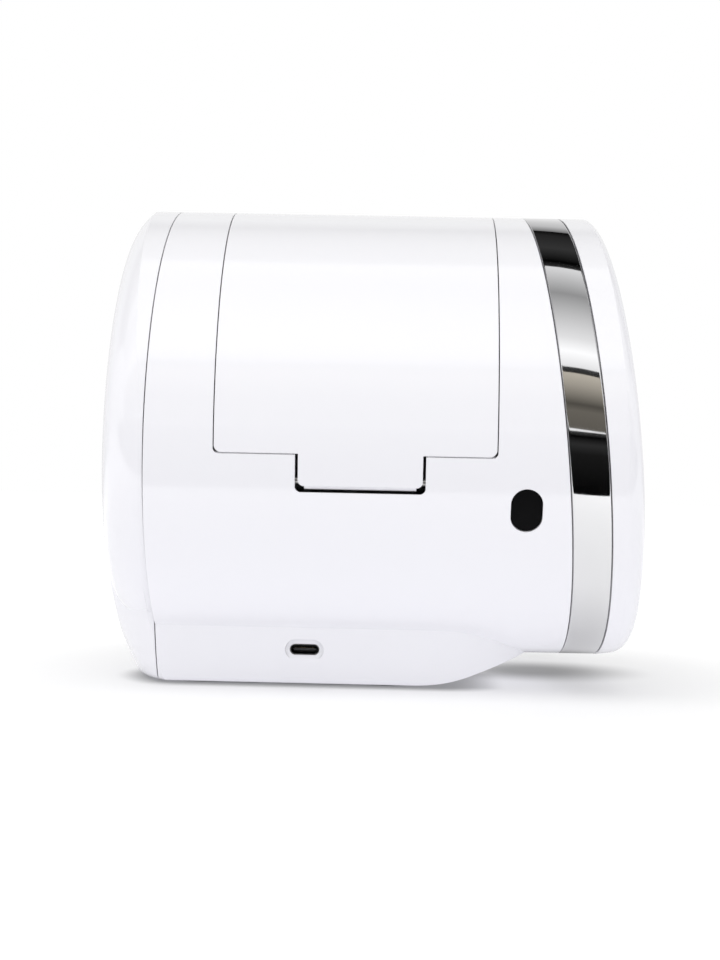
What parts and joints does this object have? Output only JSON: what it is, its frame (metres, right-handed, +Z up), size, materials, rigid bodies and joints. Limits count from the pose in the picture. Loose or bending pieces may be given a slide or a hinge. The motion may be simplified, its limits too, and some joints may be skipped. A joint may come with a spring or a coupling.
{
  "type": "thermal label printer",
  "caption": "Desktop thermal label printer: white drum body on a tapered foot, hinged lid, roll bay, geared platen roller and sprung print head",
  "frame": {"origin": "centre of the underside, on the table that the rubber feet stand on", "axes": "+X along the drum axis towards the control disc, +Y towards the label exit, -Y the hinge and charging socket side, +Z up"},
  "size_m": [0.1668, 0.14, 0.15],
  "materials": {
    "white_abs": "smooth gloss white",
    "chrome_trim": "mirror chrome plating",
    "black_abs": "fine matte black",
    "grey_abs": "fine matte mid grey",
    "rubber_black": "matte moulded rubber",
    "plated_steel": "zinc plated sheet and screws",
    "spring_steel": "bright spring wire",
    "aluminium_sink": "satin aluminium",
    "ceramic_head": "glazed ceramic",
    "brass_parts": "machined brass",
    "pom_white": "unfilled acetal",
    "pom_blue": "tinted acetal",
    "board_green": "solder resist",
    "battery_wrap": "shrink film",
    "light_pipe": "clear diffuser"
  },
  "bodies": {
    "housing": {"drum_housing": "white_abs", "left_end_cap": "white_abs", "trim_ring": "chrome_trim", "control_disc": "white_abs", "base_plate": "grey_abs", "rubber_feet": "rubber_black", "base_screws": "plated_steel", "roll_bay": "grey_abs", "left_side_plate": "plated_steel", "right_side_plate": "plated_steel", "rack_tray": "grey_abs", "tray_screws": "plated_steel", "tear_bar": "plated_steel", "head_beam": "plated_steel", "head_springs": "spring_steel", "head_pivot_pin": "plated_steel", "label_sensor": "black_abs", "gear_posts": "plated_steel", "gear_clips": "spring_steel", "motor_plate": "plated_steel", "motor_spacers": "brass_parts", "drive_motor": "plated_steel", "main_board": "board_green", "board_standoffs": "brass_parts", "board_screws": "plated_steel", "power_switch": "black_abs", "feed_board": "board_green", "status_light": "light_pipe", "usb_socket": "plated_steel", "usb_board": "board_green", "battery_pack": "battery_wrap", "hinge_pin": "plated_steel", "lid_spring": "spring_steel"},
    "lid": {"lid_shell": "white_abs", "lid_liner": "grey_abs", "liner_screws": "plated_steel", "platen_bushings": "pom_white"},
    "platen": {"platen_axle": "plated_steel", "platen_rubber": "rubber_black", "platen_gear": "pom_white"},
    "idler": {"idler_gear": "pom_white"},
    "compound": {"compound_gear": "pom_white"},
    "motor_rotor": {"motor_pinion": "brass_parts", "motor_shaft": "plated_steel"},
    "left_guide_body": {"left_guide": "pom_blue"},
    "right_guide_body": {"right_guide": "pom_blue"},
    "guide_pinion_body": {"guide_pinion": "pom_white"},
    "head": {"print_head": "ceramic_head", "head_heat_sink": "aluminium_sink"},
    "power_button_body": {"power_button": "black_abs"},
    "feed_button_body": {"feed_button": "white_abs"}
  },
  "joints": [
    {"name": "lid_hinge", "type": "hinge", "parent": "housing", "child": "lid", "pos_m": [0, -0.06548, 0.06404], "axis": [1, 0, 0], "range_deg": [0, 90]},
    {"name": "platen_spin", "type": "hinge", "parent": "lid", "child": "platen", "pos_m": [0, 0.05144, 0.10701], "axis": [1, 0, 0], "continuous": true},
    {"name": "idler_spin", "type": "hinge", "parent": "housing", "child": "idler", "pos_m": [-0.042, 0.05599, 0.09462], "axis": [1, 0, 0], "continuous": true},
    {"name": "compound_spin", "type": "hinge", "parent": "housing", "child": "compound", "pos_m": [-0.045, 0.05029, 0.08474], "axis": [1, 0, 0], "continuous": true},
    {"name": "motor_spin", "type": "hinge", "parent": "housing", "child": "motor_rotor", "pos_m": [-0.05, 0.04091, 0.07229], "axis": [1, 0, 0], "continuous": true},
    {"name": "head_pivot", "type": "hinge", "parent": "housing", "child": "head", "pos_m": [0, 0.04454, 0.09099], "axis": [1, 0, 0], "range_deg": [-1.5, 0], "stiffness_Nm_per_rad": 0.5},
    {"name": "left_guide_slide", "type": "slide", "parent": "housing", "child": "left_guide_body", "axis": [1, 0, 0], "range_m": [0, 0.024]},
    {"name": "right_guide_slide", "type": "slide", "parent": "housing", "child": "right_guide_body", "axis": [1, 0, 0], "range_m": [-0.024, 0]},
    {"name": "guide_pinion_spin", "type": "hinge", "parent": "housing", "child": "guide_pinion_body", "pos_m": [-0.0018, 0, 0.0275], "axis": [0, 0, 1], "range_deg": [-287, 0]},
    {"name": "power_button_press", "type": "slide", "parent": "housing", "child": "power_button_body", "axis": [0, 0.9421, 0.3354], "range_m": [0, 0.0008], "stiffness_N_per_m": 600},
    {"name": "feed_button_press", "type": "slide", "parent": "housing", "child": "feed_button_body", "axis": [-0.9933, -0.0451, -0.1063], "range_m": [0, 0.0008], "stiffness_N_per_m": 600}
  ],
  "couplings": [
    {"joint": "idler_spin", "follows": "platen_spin", "ratio": -0.83333},
    {"joint": "compound_spin", "follows": "platen_spin", "ratio": 1.4286},
    {"joint": "motor_spin", "follows": "platen_spin", "ratio": -4.7619},
    {"joint": "right_guide_slide", "follows": "left_guide_slide", "ratio": -1},
    {"joint": "guide_pinion_spin", "follows": "left_guide_slide", "rad_per_m": -208.33}
  ]
}
